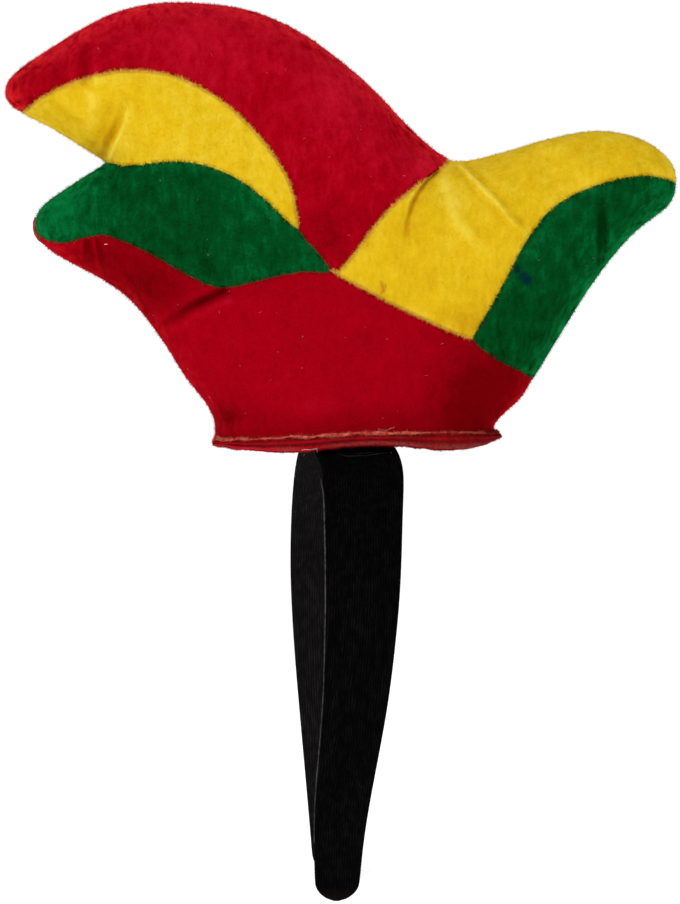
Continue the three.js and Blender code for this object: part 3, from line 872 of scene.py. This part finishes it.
# The pile: short fibres that stand out of the velour and lean over with the nap, brushed this way and that.
# Along the seams and the outline they lean outwards, over the neighbouring panel and past the edge.
PILE_PER_MM2 = 2.2
HEM_FUZZ_PER_MM2 = 14
PILE_LENGTH = (0.4 * MM, 0.75 * MM)
UNDERSIDE_PILE_LENGTH = (0.4 * MM, 1.0 * MM)
HEM_FUZZ_LENGTH = (0.4 * MM, 1.15 * MM)
PILE_RADIUS = 0.08 * MM
PILE_SUNK = 0.12 * MM
PILE_SHADES = {"base_red": 0.1, "underside": 0.15}
PILE_SHADE = 0.22
NAP_LEAN = 1.1
NAP_SPREAD = 0.3
BROAD_STROKE = 16 * MM
FINE_STROKE = 4 * MM
FACING_UP = 0.3
SEAM_PILE_PER_MM = 5
SEAM_PILE_BAND = 0.9 * MM
SEAM_PILE_LIFT = 0.25 * MM
RIM_LIGHT = 0.8
RIM_STRETCH = 1.6
SEAM_STRETCH = 1.6
FRINGE_PER_MM = 7
PILE_SEED = 11
SLOTS = [PANELS[panel_name(node)][1] for node, outward in HAT_NODES]
draw = np.random.default_rng(PILE_SEED)
noise.seed_set(PILE_SEED)


def unit(vectors):
    return vectors / np.maximum(np.linalg.norm(vectors, axis=1, keepdims=True), 1e-12)


def nap_directions(points, normals):
    """The way the pile is brushed at each point: downwards, turned here and there by a hand."""
    brushed = np.array([
        noise.noise_vector(Vector(point) / BROAD_STROKE) * 0.9
        + noise.noise_vector(Vector(point) / FINE_STROKE) * 0.6
        for point in points
    ])
    nap = brushed + np.array([0, 0, -0.8])
    return nap - normals * np.sum(nap * normals, axis=1, keepdims=True)


def read_tones(mesh):
    """How light each vertex is painted: the painted light and shade of folds and patches, and a painted
    sheen by the outline.
    """
    tones = np.zeros((2, len(mesh.vertices)), np.float32)
    for values, name in zip(tones, ("tone", "rim")):
        if name in mesh.attributes:
            mesh.attributes[name].data.foreach_get("value", values)
    return tones[0] + tones[1]


def surface_pile(mesh, per_mm2=PILE_PER_MM2):
    """Fibres spread over a mesh: roots, directions, normals, tones and the face that each stands on."""
    points = read_points(mesh)
    normals = read_normals(mesh)
    nap = nap_directions(points, normals)
    mesh.calc_loop_triangles()
    corners = np.empty(len(mesh.loop_triangles) * 3, np.int32)
    mesh.loop_triangles.foreach_get("vertices", corners)
    corners = corners.reshape(-1, 3)
    faces = np.empty(len(mesh.loop_triangles), np.int32)
    mesh.loop_triangles.foreach_get("polygon_index", faces)
    areas = np.empty(len(mesh.loop_triangles), np.float32)
    mesh.loop_triangles.foreach_get("area", areas)
    count = int(areas.sum() / MM ** 2 * per_mm2)
    summed = np.cumsum(areas / areas.sum())
    chosen = np.searchsorted(summed, draw.random(count)).clip(0, len(areas) - 1)
    share = draw.random((count, 2))
    folded = share.sum(axis=1) > 1
    share[folded] = 1 - share[folded]
    weights = np.column_stack([1 - share.sum(axis=1), share])
    ring = corners[chosen]
    roots = (points[ring] * weights[:, :, None]).sum(axis=1)
    upright = unit((normals[ring] * weights[:, :, None]).sum(axis=1))
    lean = (nap[ring] * weights[:, :, None]).sum(axis=1)
    directions = unit(upright + lean * NAP_LEAN + draw.normal(0, NAP_SPREAD, (count, 3)))
    tones = (read_tones(mesh)[ring] * weights).sum(axis=1)
    return roots - upright * PILE_SUNK, directions, upright, tones, faces[chosen]


def seam_pile(mesh, per_mm, own=None, other=None):
    """Fibres along seams and outline, or on one kind of cloth beside another, with the same five values.

    Over a seam they lie flat and reach for the neighbouring panel, and round the outline they stand out."""
    tones = read_tones(mesh)
    bm = bmesh.new()
    bm.from_mesh(mesh)
    layer = bm.faces.layers.int["panel"]
    found = []
    for edge in bm.edges:
        panels = {face[layer] for face in edge.link_faces}
        if len(panels) < 2 or (own and {SLOTS[panel] for panel in panels} != {own, other}):
            continue
        outline = all(abs(vertex.co.y) < ON_OUTLINE for vertex in edge.verts)
        stretch = RIM_STRETCH if outline else SEAM_STRETCH
        first, last = (vertex.co for vertex in edge.verts)
        along = (last - first).normalized()
        tone = sum(tones[vertex.index] for vertex in edge.verts) / 2
        for face in edge.link_faces:
            if own and SLOTS[face[layer]] != own:
                continue
            across = along.cross(face.normal)
            if across.dot(face.calc_center_median() - first) > 0:
                across = -across
            out = Vector((0, math.copysign(1, face.calc_center_median().y), 0))
            count = draw.poisson(edge.calc_length() / MM * per_mm)
            for share, inset, lean in draw.random((count, 3)):
                place = first.lerp(last, share) - across * inset * SEAM_PILE_BAND
                if outline:
                    root = place - face.normal * PILE_SUNK
                    way = face.normal * 0.8 + across * (0.35 + 0.7 * lean)
                    found.append((root, way, face.normal.copy(), tone + RIM_LIGHT, face.index, stretch))
                else:
                    root = place + out * SEAM_PILE_LIFT
                    way = out * 0.25 + across * (0.4 + 0.6 * lean)
                    found.append((root, way, out, tone, face.index, stretch))
    bm.free()
    columns = (np.array(values) for values in zip(*found))
    roots, directions, normals, fibre_tones, faces, stretches = columns
    directions = unit(directions + draw.normal(0, NAP_SPREAD, directions.shape)) * stretches[:, None]
    return roots, directions, normals, fibre_tones, faces


def pile_piece(name, fibres, material, slot, shade=PILE_SHADE, length=PILE_LENGTH):
    """Fibres as three sided spikes in one mesh. They take the light as the cloth under them does."""
    roots, directions, normals, tones = fibres
    count = len(roots)
    lengths = draw.uniform(*length, (count, 1))
    side = unit(np.cross(directions, draw.normal(0, 1, (count, 3))))
    other = np.cross(unit(directions), side)
    ring = [
        roots + PILE_RADIUS * (math.cos(angle) * side + math.sin(angle) * other)
        for angle in (0, 2 * math.pi / 3, 4 * math.pi / 3)
    ]
    points = np.stack([*ring, roots + directions * lengths], axis=1)
    spike = np.array([(0, 1, 3), (1, 2, 3), (2, 0, 3), (0, 2, 1)])
    corners = spike + 4 * np.arange(count)[:, None, None]
    mesh = bpy.data.meshes.new(name)
    mesh.vertices.add(count * 4)
    mesh.vertices.foreach_set("co", points.astype(np.float32).ravel())
    mesh.loops.add(corners.size)
    mesh.loops.foreach_set("vertex_index", corners.astype(np.int32).ravel())
    mesh.polygons.add(count * len(spike))
    mesh.polygons.foreach_set("loop_start", np.arange(0, corners.size, 3, dtype=np.int32))
    mesh.update(calc_edges=True)
    shades = np.repeat(tones + draw.normal(0, shade, count), 4)
    write_values(mesh, "tone", shades)
    mesh.materials.append(material)
    mesh.shade_smooth()
    mesh.normals_split_custom_set_from_vertices(np.repeat(normals, 4, axis=0).astype(np.float32))
    piece = bpy.data.objects.new(name, mesh)
    scene.collection.objects.link(piece)
    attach(piece, "root")


panel_of_face = np.empty(len(hat.data.polygons), np.int32)
hat.data.attributes["panel"].data.foreach_get("value", panel_of_face)
over_all = surface_pile(hat.data)
over_seams = seam_pile(hat.data, SEAM_PILE_PER_MM)
*grown, grown_on = (np.concatenate(pair) for pair in zip(over_all, over_seams))
for index, (node, outward) in enumerate(HAT_NODES):
    on_panel = panel_of_face[grown_on] == index
    panel = panel_name(node)
    shade = PILE_SHADES.get(panel, PILE_SHADE)
    pile_piece(f"pile_{node}", [values[on_panel] for values in grown], *PANELS[panel], shade)
FRINGE = thread_material("mixed_fringe", (0.82, 0.24, 0.06), (0.92, 0.45, 0.1))
fringe = seam_pile(hat.data, FRINGE_PER_MM, "yellow_velour", "red_velour")[:-1]
pile_piece("seam_fringe", fringe, FRINGE, "yellow_velour")
*pad_grown, pad_faces = surface_pile(base_pad.data)
pad_normal_z = np.array([polygon.normal.z for polygon in base_pad.data.polygons])
below = pad_normal_z[pad_faces] < FACING_UP
pad_fibres = [values[below] for values in pad_grown]
pad_shade = PILE_SHADES["underside"]
pile_piece("pile_underside", pad_fibres, UNDERSIDE_VELOUR, "red_velour", pad_shade, UNDERSIDE_PILE_LENGTH)
hem_grown = surface_pile(hem_backing.data, HEM_FUZZ_PER_MM2)[:-1]
pile_piece("hem_fuzz", hem_grown, BACKING, "red_velour", length=HEM_FUZZ_LENGTH)


# Threads and lint on the hat: cut sewing threads, fluff, and glue pulled into threads at the band.
# Each lies on the left side along a path of (x, z), with a slot, two shades and a radius, in millimetres.
# The crease that the crown's edge presses into the band's cover is laid in the same way.
LOOSE = {
    "orange_thread": ("yellow_velour", ((0.5, 0.16, 0.01), (0.72, 0.3, 0.02)), 0.16, [
        [(8.8, 49.6), (9.2, 48.3), (9.3, 47), (9.1, 45.5)],
        [(10.3, 48.8), (10.1, 47.4), (9.6, 46.4)],
    ]),
    "pale_thread": ("red_velour", ((0.34, 0.12, 0.1), (0.48, 0.27, 0.22)), 0.085, [
        [(-38, 3.3), (-37.3, 3.0), (-36.6, 3.1), (-35.9, 2.9), (-35.2, 3.3)],
        [(-16.2, 3.5), (-15.3, 3.1), (-14.4, 3.2), (-13.6, 3.4), (-13, 3.9), (-11.8, 4.6)],
        [(7.6, 6.2), (8.6, 5.7), (9.6, 5.6), (10.6, 5.7), (11.4, 6.2), (12.2, 6.3), (12.7, 6.8)],
        [(8.2, 5.4), (9.4, 5.2), (10.4, 5.4)],
        [(9.0, 9.1), (9.3, 9.25)],
        [(-50.9, 42.5), (-50.6, 42.7)],
    ]),
    "fluff": ("red_velour", ((0.8, 0.2, 0.2), (0.92, 0.36, 0.34)), 0.2, [
        [(-72.5, 60.4), (-72.1, 60.45), (-71.8, 60.45), (-71.4, 60.5)],
    ]),
    "glue_thread": ("black_knit", ((0.25, 0.25, 0.25), (0.6, 0.6, 0.6)), 0.085, [
        [(-15.2, -0.3), (-13.9, 0.0), (-12.6, -0.1), (-11.4, 0.1), (-10.2, 0.2)],
        [(-10.8, 0.4), (-10.4, -0.2), (-10.1, -1.0)],
        [(-11.0, -2.0), (-11.1, -2.6)],
        [(11.6, -0.6), (11.9, -1.2)],
    ]),
    "cover_crease": ("black_knit", ((0.004, 0.004, 0.004), (0.02, 0.019, 0.019)), 0.16, [
        [(-4.8, -0.7), (-3.2, -1.6), (-1.8, -2.0), (1.5, -1.9), (4.0, -1.8), (8.0, -1.3), (12.4, -0.8)],
        [(1.0, -1.2), (4.0, -1.1), (7.0, -0.9)],
    ]),
}
LOOSE_LIFT = 0.4 * MM
LOOSE_TAPER = 0.4
LAID_FROM = 200 * MM
LINT_COUNT = 160
LINT_RADIUS = 0.02 * MM
LINT_LENGTH = (0.3, 0.9)
LINT_LIFT = 0.35 * MM
LINT_BEND = 0.3


def laid(x, z, lift):
    """The point of the left side at x and z, lifted off the cloth."""
    start = Vector((x * MM, -LAID_FROM, z * MM))
    hits = [piece.ray_cast(start, Vector((0, 1, 0))) for piece in (hat, base_pad, headband)]
    places = [place for hit, place, normal, face in hits if hit]
    return min(places, key=lambda place: place.y) - Vector((0, lift, 0))


bpy.context.view_layer.update()
for name, (slot, (dark, light), radius, strands) in LOOSE.items():
    laid_strands = []
    for strand in strands:
        thin = LOOSE_TAPER * radius * MM
        radii = [thin, *[radius * MM] * (len(strand) - 2), thin]
        laid_strands.append([(laid(x, z, LOOSE_LIFT), thick) for (x, z), thick in zip(strand, radii)])
    thread_piece(name, laid_strands, thread_material(name, dark, light))
lint_strands = []
for number in draw.choice(len(over_all[0]), LINT_COUNT, replace=False):
    out = Vector(over_all[2][number])
    first = Vector(over_all[0][number]) + out * LINT_LIFT
    way = out.cross(Vector(draw.normal(0, 1, 3))).normalized() * draw.uniform(*LINT_LENGTH) * MM
    bent = first + way / 2 + out.cross(way) * draw.normal(0, LINT_BEND)
    lint_strands.append([(first, LINT_RADIUS), (bent, LINT_RADIUS), (first + way, LINT_RADIUS)])
LINT = thread_material("lint", (0.42, 0.22, 0.19), (0.62, 0.46, 0.41))
thread_piece("lint", lint_strands, LINT)


# The front horn's point: a sliver of red seam allowance shows past the green round the tip.
# It is the cut edge of the base's velour, caught in the outline seam, along (x, z) in millimetres.
POINT_EDGE = [
    (-92.5, 68.7),
    (-93, 67.2),
    (-93.1, 65.4),
    (-92.7, 63.9),
    (-91.7, 62.5),
    (-90, 61.2),
    (-88.5, 60.2),
]
POINT_EDGE_RADIUS = 0.75 * MM
POINT_EDGE_SHIFT = 0.35 * MM
point_strand = []
for x, z in POINT_EDGE:
    uneven = 1 + 0.3 * noise.noise(Vector((x, 0, z)))
    place = Vector((x * MM + POINT_EDGE_SHIFT, 0, z * MM))
    point_strand.append((place, POINT_EDGE_RADIUS * uneven))
POINT_RED = thread_material("point_seam_red", (0.2, 0.008, 0.012), (0.42, 0.07, 0.05))
thread_piece("front_point_seam", [point_strand], POINT_RED)
bpy.data.objects.remove(hat)


# The view: the hat's left side, seen level and from a little in front of it, through a long lens.
# The picture is 904 pixels high, and one of them is 0.3 mm at the middle of the hat.
VIEW_AZIMUTH = math.radians(-5)
VIEW_ELEVATION = math.radians(1)
VIEW_DISTANCE = 1.2
VIEW_CENTRE = Vector((-1.5 * MM, 0, -1.2 * MM))
FRAME_PIXELS = 904
PIXEL = 0.3 * MM
SENSOR = 36

camera_data = bpy.data.cameras.new("camera")
camera_data.sensor_width = SENSOR
camera_data.lens = SENSOR * VIEW_DISTANCE / (FRAME_PIXELS * PIXEL)
camera_data.clip_end = 20
camera = bpy.data.objects.new("camera", camera_data)
towards_camera = Vector((
    math.sin(VIEW_AZIMUTH) * math.cos(VIEW_ELEVATION),
    -math.cos(VIEW_AZIMUTH) * math.cos(VIEW_ELEVATION),
    math.sin(VIEW_ELEVATION),
))
camera.location = VIEW_CENTRE + towards_camera * VIEW_DISTANCE
camera.rotation_euler = towards_camera.to_track_quat("Z", "Y").to_euler()
scene.collection.objects.link(camera)
scene.camera = camera


# The setting: a plain white floor that rises into a backdrop far behind, a broad key light and a fill.
# The key stands to the upper left of the camera and the fill to its right.
FLOOR_Z = -134 * MM
FLOOR_HALF = 9
FLOOR_FORWARD = 3
BACKDROP_HEIGHT = 12
BACKDROP_CURVE = 3
FLOOR_WHITE = (0.9, 0.9, 0.9, 1)
FLOOR_GLOW = 0.5
ROOM_LIGHT = 0.41
floor_material, start = new_material("white_floor")
finish_material(start, {
    "Base Color": FLOOR_WHITE,
    "Roughness": 0.9,
    "Emission Color": (1, 1, 1, 1),
    "Emission Strength": FLOOR_GLOW,
})
bm = bmesh.new()
bmesh.ops.create_grid(bm, x_segments=1, y_segments=1, size=FLOOR_HALF)
bmesh.ops.translate(bm, verts=bm.verts, vec=(0, -FLOOR_FORWARD, FLOOR_Z))
back_edge = [edge for edge in bm.edges if all(vertex.co.y > 0 for vertex in edge.verts)]
raised = bmesh.ops.extrude_edge_only(bm, edges=back_edge)["geom"]
top_edge = [item for item in raised if isinstance(item, bmesh.types.BMVert)]
bmesh.ops.translate(bm, verts=top_edge, vec=(0, 0, BACKDROP_HEIGHT))
corner = [edge for edge in bm.edges if len(edge.link_faces) == 2]
bmesh.ops.bevel(
    bm, geom=corner, offset=BACKDROP_CURVE, segments=16, profile=0.5, affect="EDGES", material=-1
)
bmesh.ops.recalc_face_normals(bm, faces=bm.faces)
floor = new_piece("floor", bm, floor_material)

world = bpy.data.worlds.new("world")
scene.world = world
world.use_nodes = True
room = world.node_tree.nodes["Background"]
room.inputs["Color"].default_value = (1, 1, 1, 1)
room.inputs["Strength"].default_value = ROOM_LIGHT


def area_light(name, place, size, power):
    data = bpy.data.lights.new(name, "AREA")
    data.shape = "DISK"
    data.size = size
    data.energy = power
    light = bpy.data.objects.new(name, data)
    light.location = place
    light.rotation_euler = Vector(place).to_track_quat("Z", "Y").to_euler()
    scene.collection.objects.link(light)


area_light("key", place=(-0.9, -1.2, 1.3), size=0.9, power=16)
area_light("fill", place=(1.2, -1.4, 0.5), size=1.2, power=6)
scene.view_settings.view_transform = "Standard"
